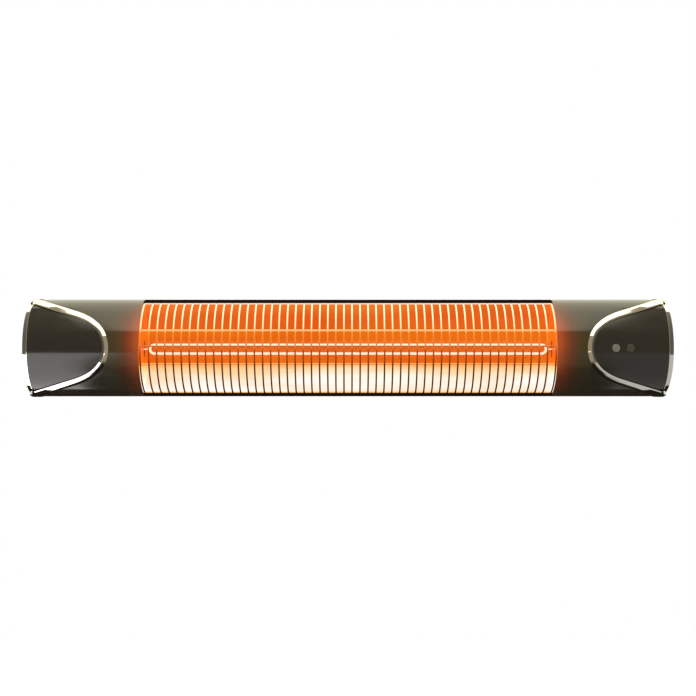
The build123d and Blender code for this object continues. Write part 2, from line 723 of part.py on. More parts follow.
# Reflector and its end plates ---------------------------------------------------------------------
REFLECTOR_HALF = 257.2
REFLECTOR_BACK_Y = -72.0
REFLECTOR_BACK_Z = 21.8  # half the height of its flat back
FLANGE_Z = 57.0
FLANGE_REAR_Y = -73.0
LIP_Y = -91.5  # front edge, where the flanges fold back into the slopes
with BuildPart() as reflector:
    with BuildSketch(Plane.YZ.offset(-REFLECTOR_HALF)):
        add(
            sheet_face(
                [
                    (FLANGE_REAR_Y, FLANGE_Z), (LIP_Y, FLANGE_Z), (REFLECTOR_BACK_Y, REFLECTOR_BACK_Z),
                    (REFLECTOR_BACK_Y, -REFLECTOR_BACK_Z), (LIP_Y, -FLANGE_Z), (FLANGE_REAR_Y, -FLANGE_Z),
                ],
                REFLECTOR_T, 1.2,
            )
        )
    extrude(amount=2 * REFLECTOR_HALF)
    for up in (1, -1):
        with BuildSketch(Plane.XY.offset(up * (FLANGE_Z - 3))):
            with Locations(*[(x, SCREW_Y) for x in STRIP_SCREWS]):
                Circle(SCREW_R + 0.1)
        extrude(amount=up * 6, mode=Mode.SUBTRACT)
save(reflector, "reflector")

TUBE_ROOM = 0.6  # clearance of the lamp tube in each end plate
for side, sign in SIDES:
    with BuildPart() as reflector_end:
        with BuildSketch(Plane.YZ.offset(WINDOW + 0.3)):
            add(d_face(57.7, TRAY_INNER_Y - 0.5))
            add(stadium(ENVELOPE[0] + TUBE_ROOM, ENVELOPE[1] + TUBE_ROOM), mode=Mode.SUBTRACT)
            with Locations((TRAY_INNER_Y - 4, LAMP_Z)):
                Rectangle(8, 9, mode=Mode.SUBTRACT)
        extrude(amount=REFLECTOR_T)
        if sign < 0:
            mirror(about=Plane.YZ, mode=Mode.REPLACE)
    save(reflector_end, f"{side}_reflector_end")

# Guard ----------------------------------------------------------------------------------------------
with BuildPart() as hoop:
    with BuildLine():
        Line((0, HOOP_FOOT_Y, HOOP_R), (0, AXIS_Y, HOOP_R))
        ThreePointArc((0, AXIS_Y, HOOP_R), (0, AXIS_Y - HOOP_R, 0), (0, AXIS_Y, -HOOP_R))
        Line((0, AXIS_Y, -HOOP_R), (0, HOOP_FOOT_Y, -HOOP_R))
    with BuildSketch(Plane.XZ.offset(-HOOP_FOOT_Y)):
        with Locations((0, HOOP_R)):
            Circle(WIRE / 2)
    sweep()

END_HOOP_X = WINDOW - 1.4
hoop_places = [(i - (HOOP_COUNT - 1) / 2) * HOOP_PITCH for i in range(HOOP_COUNT)]
with BuildPart() as guard_hoops:
    with Locations(*[(x, 0, 0) for x in [-END_HOOP_X] + hoop_places + [END_HOOP_X]]):
        add(hoop.part)
save(guard_hoops, "guard_hoops")

with BuildPart() as guard_rails:
    with BuildSketch(Plane.YZ.offset(-END_HOOP_X - WIRE / 2)):
        for angle in RAIL_ANGLES:
            a = math.radians(angle)
            with Locations((AXIS_Y - RAIL_R * math.cos(a), RAIL_R * math.sin(a))):
                Circle(WIRE / 2)
    extrude(amount=2 * END_HOOP_X + WIRE)
save(guard_rails, "guard_rails")

# Lamp -----------------------------------------------------------------------------------------------
WALL = 1.2
with BuildPart() as lamp_tube:
    with BuildSketch(Plane.YZ.offset(-ENVELOPE_HALF)):
        add(stadium(*ENVELOPE))
    extrude(amount=2 * ENVELOPE_HALF)
    with BuildSketch(Plane.YZ.offset(-ENVELOPE_HALF + 5)):
        add(stadium(ENVELOPE[0] - 2 * WALL, ENVELOPE[1] - 2 * WALL))
    extrude(amount=2 * (ENVELOPE_HALF - 5), mode=Mode.SUBTRACT)
save(lamp_tube, "lamp_tube")

FILAMENT_R = 1.5
FILAMENT_HALF = 252.0 - FILAMENT_R
straight = FILAMENT_HALF - LAMP_LEG
with BuildPart() as lamp_filament:
    with BuildLine():
        low, high = LAMP_Z - LAMP_LEG, LAMP_Z + LAMP_LEG
        Line((0, LAMP_Y, high), (straight, LAMP_Y, high))
        ThreePointArc(
            (straight, LAMP_Y, high), (FILAMENT_HALF, LAMP_Y, LAMP_Z), (straight, LAMP_Y, low)
        )
        Line((straight, LAMP_Y, low), (0, LAMP_Y, low))
    with BuildSketch(Plane.YZ):
        with Locations((LAMP_Y, high)):
            Circle(FILAMENT_R)
    sweep()
    with BuildSketch(Plane.YZ.offset(FILAMENT_HALF)):
        with Locations((LAMP_Y, LAMP_Z)):
            Circle(0.7)
    extrude(amount=ENVELOPE_HALF - 5 - FILAMENT_HALF)
    mirror(about=Plane.YZ)
save(lamp_filament, "lamp_filament")

BASE_X = 259.4
BASE_LENGTH = 24.0
CLIP_X = 264.0
CLIP_WIDTH = 9.0
LEAD_X = 279.0
LEAD_R = 1.5
for side, sign in SIDES:
    with BuildPart() as lamp_base:
        with BuildSketch(Plane.YZ.offset(BASE_X)):
            with Locations((LAMP_Y, LAMP_Z)):
                RectangleRounded(15, 27, 2)
        extrude(amount=BASE_LENGTH)
        fillet(lamp_base.faces().sort_by(Axis.X)[-1].edges(), radius=1)
        with BuildSketch(Plane.YZ.offset(BASE_X)):
            add(stadium(ENVELOPE[0] + 0.3, ENVELOPE[1] + 0.3))
        extrude(amount=ENVELOPE_HALF - BASE_X + 0.2, mode=Mode.SUBTRACT)
        with BuildSketch(Plane.XZ.offset(-LAMP_Y - 7.5)):
            with Locations((LEAD_X, LAMP_Z)):
                Circle(LEAD_R + 0.02)
        extrude(amount=4, mode=Mode.SUBTRACT)
        if sign < 0:
            mirror(about=Plane.YZ, mode=Mode.REPLACE)
    save(lamp_base, f"{side}_lamp_base")

    with BuildPart() as lamp_clip:
        with BuildSketch(Plane.YZ.offset(CLIP_X)):
            add(
                sheet_face(
                    [
                        (-107.5, LAMP_Z + 15.6), (-106, LAMP_Z + 13.6),
                        (TRAY_INNER_Y - 0.05, LAMP_Z + 13.6), (TRAY_INNER_Y - 0.05, LAMP_Z + 26),
                    ],
                    0.9, 0.8,
                )
            )
            mirror(about=Plane.XZ.offset(-LAMP_Z))
            with Locations((LAMP_Y + 8.1, LAMP_Z)):
                Rectangle(0.9, 28)
        extrude(amount=CLIP_WIDTH)
        if sign < 0:
            mirror(about=Plane.YZ, mode=Mode.REPLACE)
    save(lamp_clip, f"{side}_lamp_clip")

# Heat shields between the lamp and the end compartments ------------------------------------------------
SHIELD_X = 288.0
for side, sign in SIDES:
    with BuildPart() as heat_shield:
        with BuildSketch(Plane.YZ.offset(SHIELD_X)):
            add(d_face(58.0, TRAY_INNER_Y - 0.5))
            with Locations((TRAY_INNER_Y - 8, LAMP_Z)):
                Rectangle(16, 9, mode=Mode.SUBTRACT)
        extrude(amount=1)
        if sign < 0:
            mirror(about=Plane.YZ, mode=Mode.REPLACE)
    save(heat_shield, f"{side}_heat_shield")

with BuildPart() as thermal_cutout:
    with BuildSketch(Plane.YZ.offset(SHIELD_X + 1.02)):
        with Locations((-98, 30)):
            Circle(8)
    extrude(amount=6)
    fillet(thermal_cutout.faces().sort_by(Axis.X)[-1].edges(), radius=1)
    with BuildSketch(Plane.YZ.offset(SHIELD_X + 7)):
        with Locations((-101, 30), (-95, 30)):
            Rectangle(0.8, 6.3)
    extrude(amount=7)
save(thermal_cutout, "thermal_cutout")

# Lamp leads: the left one runs behind the reflector to the terminal block -------------------------------
LEAD_BEND = 7.0
LEAD_START_Y = LAMP_Y + 7.5
TERMINAL_X = TERMINAL[0] - 9.0
for side, sign, run_y in (("left", -1, -67.0), ("right", 1, -72.4)):
    with BuildPart() as lamp_lead:
        with BuildLine():
            FilletPolyline(
                (sign * LEAD_X, LEAD_START_Y - 3.9, LAMP_Z),
                (sign * LEAD_X, run_y, LAMP_Z),
                (TERMINAL_X, run_y, LAMP_Z),
                radius=LEAD_BEND,
            )
        with BuildSketch(Plane.XZ.offset(-LEAD_START_Y + 3.9)):
            with Locations((sign * LEAD_X, LAMP_Z)):
                Circle(LEAD_R)
        sweep()
    save(lamp_lead, f"{side}_lamp_lead")
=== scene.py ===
"""Looks of a wall-mounted infrared strip heater with its lamp lit. Metres, in the CAD model's frame."""

import json
import math

import bmesh
import bpy
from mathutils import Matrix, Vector


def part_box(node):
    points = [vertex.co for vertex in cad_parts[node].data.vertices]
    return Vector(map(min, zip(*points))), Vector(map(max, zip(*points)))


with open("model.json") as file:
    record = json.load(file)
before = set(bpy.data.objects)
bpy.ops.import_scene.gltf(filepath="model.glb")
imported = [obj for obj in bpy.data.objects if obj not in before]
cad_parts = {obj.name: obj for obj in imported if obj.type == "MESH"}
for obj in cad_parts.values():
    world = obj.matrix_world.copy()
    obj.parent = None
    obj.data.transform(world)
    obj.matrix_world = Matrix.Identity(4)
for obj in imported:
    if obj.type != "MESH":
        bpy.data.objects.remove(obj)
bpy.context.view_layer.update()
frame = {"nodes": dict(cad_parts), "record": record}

MM = 0.001
WINDOW_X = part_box("top_window_strip")[1].x  # half the window's width
BODY_FRONT_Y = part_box("right_front_shell")[0].y
BODY_TOP_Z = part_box("right_front_shell")[1].z
AXIS_Y = BODY_FRONT_Y + BODY_TOP_Z  # centre line of the half-round body
END_WALL_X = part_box("right_end_insert")[1].x

# Camera -----------------------------------------------------------------------------------------
CAMERA_DISTANCE = 1.573
LENS_MM = 66.4
SENSOR_MM = 36


def place_camera():
    """Square on to the front, level with the heater's middle."""
    data = bpy.data.cameras.new("front_camera")
    data.lens = LENS_MM
    data.sensor_width = SENSOR_MM
    camera = bpy.data.objects.new("front_camera", data)
    camera.location = (0, BODY_FRONT_Y - CAMERA_DISTANCE, 0)
    camera.rotation_euler = (math.radians(90), 0, 0)
    bpy.context.scene.collection.objects.link(camera)
    bpy.context.scene.camera = camera


# Nodes and finishes -----------------------------------------------------------------------------
def linear(hex_colour):
    """Linear RGBA of an sRGB hex colour."""
    parts = [int(hex_colour[i : i + 2], 16) / 255 for i in (1, 3, 5)]
    return [c / 12.92 if c <= 0.04045 else ((c + 0.055) / 1.055) ** 2.4 for c in parts] + [1.0]


def node(tree, kind, inputs=None, stops=(), **settings):
    """Adds a node. An input is a number, a hex colour, a socket, or a node whose first output it
    takes. Stops are the places and colours along a colour ramp."""
    made = tree.nodes.new(kind)
    for name, value in settings.items():
        setattr(made, name, value)
    for socket, value in (inputs or {}).items():
        if isinstance(value, bpy.types.Node):
            value = value.outputs[0]
        if isinstance(value, bpy.types.NodeSocket):
            tree.links.new(value, made.inputs[socket])
        else:
            made.inputs[socket].default_value = linear(value) if isinstance(value, str) else value
    if stops:
        ramp = made.color_ramp.elements
        while len(ramp) < len(stops):
            ramp.new(1.0)
        for point, (position, colour) in zip(ramp, stops):
            point.position = position
            point.color = linear(colour)
    return made


def across(size_mm):
    """The texture scale that makes a pattern's features about size_mm across."""
    return 1 / (size_mm * MM)


def begin(name):
    """A new finish, its empty node tree, and the piece's own coordinates in metres."""
    finish = bpy.data.materials.new(name)
    finish.use_nodes = True
    tree = finish.node_tree
    tree.nodes.clear()
    return finish, tree, node(tree, "ShaderNodeTexCoord").outputs["Object"]


def coat(finish, inputs):
    """Gives the finish one Principled coat with these inputs."""
    tree = finish.node_tree
    node(tree, "ShaderNodeOutputMaterial", {"Surface": node(tree, "ShaderNodeBsdfPrincipled", inputs)})
    return finish


def lacquered_steel():
    """Gloss lacquer over dark metallic paint. The eye sees mostly the clear mirror of the room on it.
    Beside the window the lamp's warm light is painted on as a glow, which fades over five
    centimetres, the red of it furthest, and is graded by height."""
    finish, tree, spot = begin("gloss_lacquered_steel")
    ripple = node(tree, "ShaderNodeTexNoise", {"Vector": spot, "Scale": across(18), "Detail": 3.0})
    gloss = node(
        tree, "ShaderNodeMapRange",
        {"Value": ripple, "From Min": 0.3, "From Max": 0.7, "To Min": 0.11, "To Max": 0.16},
    )
    # the paint's flake is finer than the eye sees from here, so it is drawn at 0.6 mm
    flake = node(tree, "ShaderNodeTexNoise", {"Vector": spot, "Scale": across(0.6), "Detail": 0.0})
    paint = node(
        tree, "ShaderNodeValToRGB", {"Fac": flake}, stops=[(0.35, "#1a1810"), (0.65, "#25221a")]
    )
    place = node(tree, "ShaderNodeSeparateXYZ", {0: spot})
    reach = node(tree, "ShaderNodeMath", {0: place.outputs["X"]}, operation="ABSOLUTE")
    beside = node(
        tree, "ShaderNodeMapRange",
        {"Value": reach, "From Min": WINDOW_X, "From Max": WINDOW_X + 50 * MM},
    )
    # painted light: the lamp's warm glow beside the window, fading outward over five centimetres
    spill = node(
        tree, "ShaderNodeValToRGB", {"Fac": beside},
        stops=[
            (0.0, "#b04408"), (0.1, "#a03e06"), (0.22, "#802c02"), (0.36, "#5c2200"),
            (0.52, "#402400"), (0.74, "#262000"), (1.0, "#000000"),
        ],
    )
    height = node(
        tree, "ShaderNodeMapRange",
        {"Value": place.outputs["Z"], "From Min": -BODY_TOP_Z, "From Max": BODY_TOP_Z},
    )
    # painted light graded by height: strongest just above the middle, dark at top and bottom
    painted_spill_by_height = node(
        tree, "ShaderNodeValToRGB", {"Fac": height},
        stops=[
            (0.02, "#383838"), (0.2, "#808080"), (0.36, "#c8c8c8"), (0.55, "#ffffff"),
            (0.74, "#f4e8e8"), (0.9, "#989898"), (1.0, "#303030"),
        ],
    )
    glow = node(
        tree, "ShaderNodeMix", {0: 1.0, 6: spill, 7: painted_spill_by_height}, data_type="RGBA", blend_type="MULTIPLY"
    )
    return coat(
        finish,
        {
            "Base Color": paint, "Roughness": gloss,
            "Emission Color": glow.outputs[2], "Emission Strength": 1.0,
        },
    )


def matt_stove_enamel():
    """Black stove enamel of the window strips: dead matt, browned by the heat in places."""
    finish, tree, spot = begin("black_stove_enamel")
    drawn = node(tree, "ShaderNodeMapping", {"Vector": spot, "Scale": (0.5, 1, 1)})
    soot = node(tree, "ShaderNodeTexNoise", {"Vector": drawn, "Scale": across(40), "Detail": 3.0})
    black = node(
        tree, "ShaderNodeValToRGB", {"Fac": soot}, stops=[(0.0, "#040302"), (1.0, "#1c1006")]
    )
    return coat(finish, {"Base Color": black, "Roughness": 0.6, "Specular IOR Level": 0.0})


def bright_chrome():
    """Polished chrome plate: almost a mirror, with a faint warm cast and polishing haze."""
    finish, tree, spot = begin("polished_chrome_plate")
    haze = node(tree, "ShaderNodeTexNoise", {"Vector": spot, "Scale": across(9), "Detail": 3.0})
    polish = node(
        tree, "ShaderNodeMapRange",
        {"Value": haze, "From Min": 0.3, "From Max": 0.7, "To Min": 0.04, "To Max": 0.1},
    )
    return coat(finish, {"Base Color": "#dedcd4", "Roughness": polish, "Metallic": 1.0})


def gloss_black_moulding():
    """Injection-moulded gloss black ABS: deep black under a clear reflection, with slight flow marks.
    The flat end wall is moulded with a matt grain."""
    finish, tree, spot = begin("gloss_black_abs")
    drawn = node(tree, "ShaderNodeMapping", {"Vector": spot, "Scale": (1, 1, 2)})
    flow = node(tree, "ShaderNodeTexNoise", {"Vector": drawn, "Scale": across(25), "Detail": 3.0})
    gloss = node(
        tree, "ShaderNodeMapRange",
        {"Value": flow, "From Min": 0.3, "From Max": 0.7, "To Min": 0.09, "To Max": 0.15},
    )
    place = node(tree, "ShaderNodeSeparateXYZ", {0: spot})
    reach = node(tree, "ShaderNodeMath", {0: place.outputs["X"]}, operation="ABSOLUTE")
    grain = node(
        tree, "ShaderNodeMapRange",
        {"Value": reach, "From Min": END_WALL_X - 2 * MM, "From Max": END_WALL_X - MM, "To Max": 0.42},
    )
    roughness = node(tree, "ShaderNodeMath", {0: gloss, 1: grain}, operation="ADD")
    wave = node(tree, "ShaderNodeTexNoise", {"Vector": spot, "Scale": across(30), "Detail": 1.0})
    relief = node(tree, "ShaderNodeBump", {"Height": wave, "Distance": 0.05 * MM, "Strength": 0.15})
    return coat(finish, {"Base Color": "#1e1c17", "Roughness": roughness, "Normal": relief})


def guard_wire():
    """Nickel-plated steel wire, graded by height from dark brown below to cream above: partly heat
    tint, partly painted light and shade. A painted glow lights its upper half, and the lower half
    is painted dark against the reflector."""
    finish, tree, spot = begin("nickel_plated_wire")
    place = node(tree, "ShaderNodeSeparateXYZ", {0: spot})
    height = node(
        tree, "ShaderNodeMapRange",
        {"Value": place.outputs["Z"], "From Min": -60 * MM, "From Max": 60 * MM},
    )
    # painted light and shade by height, dark brown below and cream above, with some heat tint
    tan = node(
        tree, "ShaderNodeValToRGB", {"Fac": height},
        stops=[
            (0.0, "#241204"), (0.33, "#2c1404"), (0.36, "#5a2606"), (0.48, "#8a3c10"),
            (0.52, "#b06028"), (0.66, "#b8723a"), (0.7, "#c8a478"), (1.0, "#b09a7c"),
        ],
    )
    # painted glow by height, brightest on the upper half
    lit = node(
        tree, "ShaderNodeValToRGB", {"Fac": height},
        stops=[
            (0.0, "#3a1804"), (0.33, "#5a2a08"), (0.36, "#8a3004"), (0.46, "#a84008"),
            (0.52, "#ee8a3c"), (0.66, "#f09448"), (0.7, "#ffd8a0"), (0.85, "#ffe8c4"),
            (1.0, "#fff0d8"),
        ],
    )
    draw_marks = node(tree, "ShaderNodeTexNoise", {"Vector": spot, "Scale": across(3), "Detail": 3.0})
    satin = node(
        tree, "ShaderNodeMapRange",
        {"Value": draw_marks, "From Min": 0.3, "From Max": 0.7, "To Min": 0.2, "To Max": 0.34},
    )
    return coat(
        finish,
        {
            "Base Color": tan, "Roughness": satin, "Metallic": 1.0,
            "Emission Color": lit, "Emission Strength": 0.75,
        },
    )


def guard_rail():
    """The same wire laid straight along the guard. Each rail keeps one painted tint of light, set by
    how the lamp and the light from above reach it."""
    finish, tree, spot = begin("nickel_plated_rail")
    place = node(tree, "ShaderNodeSeparateXYZ", {0: spot})
    height = node(
        tree, "ShaderNodeMapRange",
        {"Value": place.outputs["Z"], "From Min": -60 * MM, "From Max": 60 * MM},
    )
    # painted glow by height: one tint of light for each rail
    lit = node(
        tree, "ShaderNodeValToRGB", {"Fac": height},
        stops=[
            (0.0, "#e8b070"), (0.2, "#ffb060"), (0.4, "#f49a54"), (0.45, "#b84408"),
            (0.58, "#b84408"), (0.63, "#ffba70"), (0.8, "#ffd090"), (0.94, "#fff4e0"),
        ],
    )
    heat = node(tree, "ShaderNodeTexNoise", {"Vector": spot, "Scale": across(8), "Detail": 3.0})
    tan = node(
        tree, "ShaderNodeValToRGB", {"Fac": heat}, stops=[(0.0, "#6a4a2c"), (1.0, "#9a8262")]
    )
    draw_marks = node(tree, "ShaderNodeTexNoise", {"Vector": spot, "Scale": across(3), "Detail": 3.0})
    satin = node(
        tree, "ShaderNodeMapRange",
        {"Value": draw_marks, "From Min": 0.3, "From Max": 0.7, "To Min": 0.2, "To Max": 0.34},
    )
    return coat(
        finish,
        {
            "Base Color": tan, "Roughness": satin, "Metallic": 1.0,
            "Emission Color": lit, "Emission Strength": 0.85,
        },
    )


def lit_reflector():
    """Anodised aluminium trough. The lamp's light on it is painted on as a glow: red-orange above, deep
    orange behind the lamp, and a painted cream reflection where the lower facet faces the eye and the
    lamp together."""
    finish, tree, spot = begin("anodised_aluminium_reflector")
    place = node(tree, "ShaderNodeSeparateXYZ", {0: spot})
    height = node(
        tree, "ShaderNodeMapRange",
        {"Value": place.outputs["Z"], "From Min": -58 * MM, "From Max": 58 * MM},
    )
    # painted lamp light and reflection by height: cream below, deep orange behind the lamp, orange
    # above
    painted_lamp_light = node(
        tree, "ShaderNodeValToRGB", {"Fac": height},
        stops=[
            (0.0, "#ffffff"), (0.12, "#fffefa"), (0.2, "#fff8e8"), (0.26, "#ffe6c0"),
            (0.305, "#ffc888"), (0.315, "#ee7a20"), (0.42, "#e66408"), (0.5, "#da5806"),
            (0.58, "#e26a0a"), (0.68, "#e46e0e"), (0.69, "#e06014"), (0.85, "#e4601a"),
            (1.0, "#f08030"),
        ],
    )
    along = node(tree, "ShaderNodeMapping", {"Vector": spot, "Scale": (0.35, 1, 2)})
    uneven = node(tree, "ShaderNodeTexNoise", {"Vector": along, "Scale": across(60), "Detail": 3.0})
    # uneven patches of the painted light along the trough
    patches = node(
        tree, "ShaderNodeValToRGB", {"Fac": uneven}, stops=[(0.35, "#f4dcb4"), (0.6, "#ffffff")]
    )
    glow = node(
        tree, "ShaderNodeMix", {0: 1.0, 6: painted_lamp_light, 7: patches}, data_type="RGBA", blend_type="MULTIPLY"
    )
    # rolling lines of the sheet run along the trough, about 1 mm apart
    rolled = node(tree, "ShaderNodeMapping", {"Vector": spot, "Scale": (0.01, 1, 1)})
    lines = node(tree, "ShaderNodeTexNoise", {"Vector": rolled, "Scale": across(1), "Detail": 3.0})
    relief = node(tree, "ShaderNodeBump", {"Height": lines, "Distance": 0.02 * MM, "Strength": 0.3})
    return coat(
        finish,
        {
            # the orange-brown base colour is a painted tint of the lamp's light, not the aluminium's
            # own colour
            "Base Color": "#5c2408", "Roughness": 0.35, "Metallic": 0.8, "Normal": relief,
            "Emission Color": glow.outputs[2], "Emission Strength": 1.0,
        },
    )


def glowing_carbon():
    """Woven carbon cord at about 1200 degrees: a cream-white glow with the weave just visible."""
    finish, tree, spot = begin("glowing_carbon_cord")
    # the weave's bands are about 4.5 mm apart along the cord
    weave = node(
        tree, "ShaderNodeTexWave", {"Vector": spot, "Scale": 140.0, "Distortion": 1.0},
        wave_type="BANDS", bands_direction="DIAGONAL",
    )
    glow = node(
        tree, "ShaderNodeValToRGB", {"Fac": weave.outputs["Fac"]},
        stops=[(0.0, "#ffe2b0"), (1.0, "#fff8e6")],
    )
    return coat(
        finish,
        {
            "Base Color": "#3a2a1c", "Roughness": 0.8,
            "Emission Color": glow, "Emission Strength": 1.1,
        },
    )


def clear_quartz():
    """Clear fused quartz. The thin wall bends the view so little that only its glints are seen."""
    finish, tree, spot = begin("clear_fused_quartz")
    haze = node(tree, "ShaderNodeTexNoise", {"Vector": spot, "Scale": across(20), "Detail": 3.0})
    gloss = node(
        tree, "ShaderNodeMapRange",
        {"Value": haze, "From Min": 0.3, "From Max": 0.7, "To Min": 0.25, "To Max": 0.35},
    )
    return coat(finish, {"Base Color": "#ff9a50", "Roughness": gloss, "IOR": 1.46, "Alpha": 0.05})


def powder_coat(name, colour):
    """Polyester powder coat: satin, with an orange peel about 1 mm across."""
    finish, tree, spot = begin(name)
    peel = node(tree, "ShaderNodeTexNoise", {"Vector": spot, "Scale": across(1), "Detail": 1.0})
    relief = node(tree, "ShaderNodeBump", {"Height": peel, "Distance": 0.04 * MM, "Strength": 0.5})
    handling = node(tree, "ShaderNodeTexNoise", {"Vector": spot, "Scale": across(30), "Detail": 3.0})
    satin = node(
        tree, "ShaderNodeMapRange",
        {"Value": handling, "From Min": 0.3, "From Max": 0.7, "To Min": 0.4, "To Max": 0.52},
    )
    return coat(finish, {"Base Color": colour, "Roughness": satin, "Normal": relief})


def zinc_plate():
    """Bright zinc plate on steel fasteners: cool grey with a cloudy passivated sheen."""
    finish, tree, spot = begin("bright_zinc_plate")
    cloud = node(tree, "ShaderNodeTexNoise", {"Vector": spot, "Scale": across(2.5), "Detail": 3.0})
    zinc = node(
        tree, "ShaderNodeValToRGB", {"Fac": cloud}, stops=[(0.0, "#9fa39f"), (1.0, "#cfd0c8")]
    )
    sheen = node(
        tree, "ShaderNodeMapRange",
        {"Value": cloud, "From Min": 0.3, "From Max": 0.7, "To Min": 0.24, "To Max": 0.4},
    )
    return coat(finish, {"Base Color": zinc, "Roughness": sheen, "Metallic": 1.0})


def rolled_steel(name, colour):
    """Bare rolled sheet: soft streaks along the rolling direction."""
    finish, tree, spot = begin(name)
    rolled = node(tree, "ShaderNodeMapping", {"Vector": spot, "Scale": (0.04, 1, 1)})
    streaks = node(tree, "ShaderNodeTexNoise", {"Vector": rolled, "Scale": across(0.8), "Detail": 3.0})
    satin = node(
        tree, "ShaderNodeMapRange",
        {"Value": streaks, "From Min": 0.3, "From Max": 0.7, "To Min": 0.28, "To Max": 0.45},
    )
    relief = node(tree, "ShaderNodeBump", {"Height": streaks, "Distance": 0.01 * MM, "Strength": 0.3})
    return coat(
        finish, {"Base Color": colour, "Roughness": satin, "Metallic": 1.0, "Normal": relief}
    )


def steatite():
    """Unglazed white steatite: matt, faintly speckled ceramic. The mouth of each base looks into the
    lit window, and the window's orange light is painted on it as a glow."""
    finish, tree, spot = begin("unglazed_steatite")
    speck = node(tree, "ShaderNodeTexNoise", {"Vector": spot, "Scale": across(0.7), "Detail": 3.0})
    body = node(
        tree, "ShaderNodeValToRGB", {"Fac": speck}, stops=[(0.0, "#d0c8b6"), (1.0, "#e8e2d4")]
    )
    relief = node(tree, "ShaderNodeBump", {"Height": speck, "Distance": 0.03 * MM, "Strength": 0.4})
    place = node(tree, "ShaderNodeSeparateXYZ", {0: spot})
    reach = node(tree, "ShaderNodeMath", {0: place.outputs["X"]}, operation="ABSOLUTE")
    # painted glow of the window's light, fading away from the window
    lit = node(
        tree, "ShaderNodeMapRange",
        {
            "Value": reach, "From Min": WINDOW_X + 3 * MM, "From Max": WINDOW_X + 12 * MM,
            "To Min": 0.8, "To Max": 0.0,
        },
    )
    return coat(
        finish,
        {
            "Base Color": body, "Roughness": 0.75, "Normal": relief,
            "Emission Color": "#e06a18", "Emission Strength": lit,
        },
    )


def moulded(name, colour, light, roughness=0.45):
    """Moulded plastic with a spark-eroded grain, too fine to see from here and drawn at 0.5 mm."""
    finish, tree, spot = begin(name)
    grain = node(tree, "ShaderNodeTexNoise", {"Vector": spot, "Scale": across(0.5), "Detail": 2.0})
    plastic = node(tree, "ShaderNodeValToRGB", {"Fac": grain}, stops=[(0.0, colour), (1.0, light)])
    relief = node(tree, "ShaderNodeBump", {"Height": grain, "Distance": 0.03 * MM, "Strength": 0.5})
    satin = node(
        tree, "ShaderNodeMapRange",
        {
            "Value": grain, "From Min": 0.3, "From Max": 0.7,
            "To Min": roughness - 0.06, "To Max": roughness + 0.08,
        },
    )
    return coat(finish, {"Base Color": plastic, "Roughness": satin, "Normal": relief})


def small_lens(name, colour, light, roughness):
    """Tinted polycarbonate: gloss face over a soft depth."""
    finish, tree, spot = begin(name)
    haze = node(tree, "ShaderNodeTexNoise", {"Vector": spot, "Scale": across(3), "Detail": 3.0})
    tint = node(tree, "ShaderNodeValToRGB", {"Fac": haze}, stops=[(0.0, colour), (1.0, light)])
    gloss = node(
        tree, "ShaderNodeMapRange",
        {
            "Value": haze, "From Min": 0.3, "From Max": 0.7,
            "To Min": roughness, "To Max": roughness + 0.08,
        },
    )
    return coat(finish, {"Base Color": tint, "Roughness": gloss})


def solder_resist():
    """Green solder resist over copper tracks, which show as slightly raised, lighter lines about
    4 mm apart."""
    finish, tree, spot = begin("green_solder_resist")
    tracks = node(
        tree, "ShaderNodeTexVoronoi", {"Vector": spot, "Scale": 260.0},
        distance="MANHATTAN", feature="F2",
    )
    lines = node(tree, "ShaderNodeMapRange", {"Value": tracks, "From Min": 0.55, "From Max": 0.6})
    resist = node(
        tree, "ShaderNodeValToRGB", {"Fac": lines}, stops=[(0.0, "#0c4a24"), (1.0, "#1c6a38")]
    )
    relief = node(tree, "ShaderNodeBump", {"Height": lines, "Distance": 0.03 * MM, "Strength": 0.6})
    return coat(finish, {"Base Color": resist, "Roughness": 0.3, "Normal": relief})


def paint_cad_nodes():
    """Gives every CAD node the finish of its slot in the record."""
    by_slot = {
        "bracket_paint": powder_coat("black_powder_coat", "#242424"),
        "tray_paint": powder_coat("dark_powder_coat", "#2b2a26"),
        "zinc_steel": zinc_plate(),
        "nylon": moulded("natural_nylon", "#cfcabb", "#dedaca"),
        "shell_finish": lacquered_steel(),
        "strip_finish": matt_stove_enamel(),
        "trim_chrome": bright_chrome(),
        "insert_gloss": gloss_black_moulding(),
        "guard_wire": guard_wire(),
        "reflector_metal": lit_reflector(),
        "shield_steel": rolled_steel("mill_finish_steel", "#9a958c"),
        "quartz": clear_quartz(),
        "carbon_glow": glowing_carbon(),
        "steatite": steatite(),
        "spring_steel": rolled_steel("blued_spring_steel", "#5d6270"),
        "lens_clear": small_lens("frosted_polycarbonate", "#5c5a54", "#6e6b64", 0.2),
        "lens_dark": small_lens("smoked_polycarbonate", "#33332d", "#3c3b35", 0.12),
        "board_green": solder_resist(),
        "part_black": moulded("black_polyamide", "#101010", "#1c1c1b", 0.38),
        "part_blue": moulded("blue_relay_case", "#17336a", "#21407c"),
        "led_red": small_lens("red_epoxy", "#7a0f0a", "#94170f", 0.1),
        "terminal_white": moulded("white_polyamide", "#cfcdc2", "#dedcd2"),
        "lead_sleeve": moulded("silicone_sleeve", "#b4b2a8", "#c4c2b8", 0.6),
        "gland_plastic": moulded("black_gland_nylon", "#121212", "#1f1f1e", 0.42),
        "seal_rubber": moulded("seal_rubber", "#0c0c0c", "#161616", 0.7),
        "knob_plastic": moulded("black_knob_nylon", "#141414", "#222221", 0.4),
    }
    rail_finish = guard_rail()
    slots = {part["node"]: part["material_slot"] for part in frame["record"]["subparts"]}
    for name, piece in frame["nodes"].items():
        finish = rail_finish if name == "guard_rails" else by_slot[slots[name]]
        for index in range(len(piece.material_slots)):
            piece.material_slots[index].material = finish


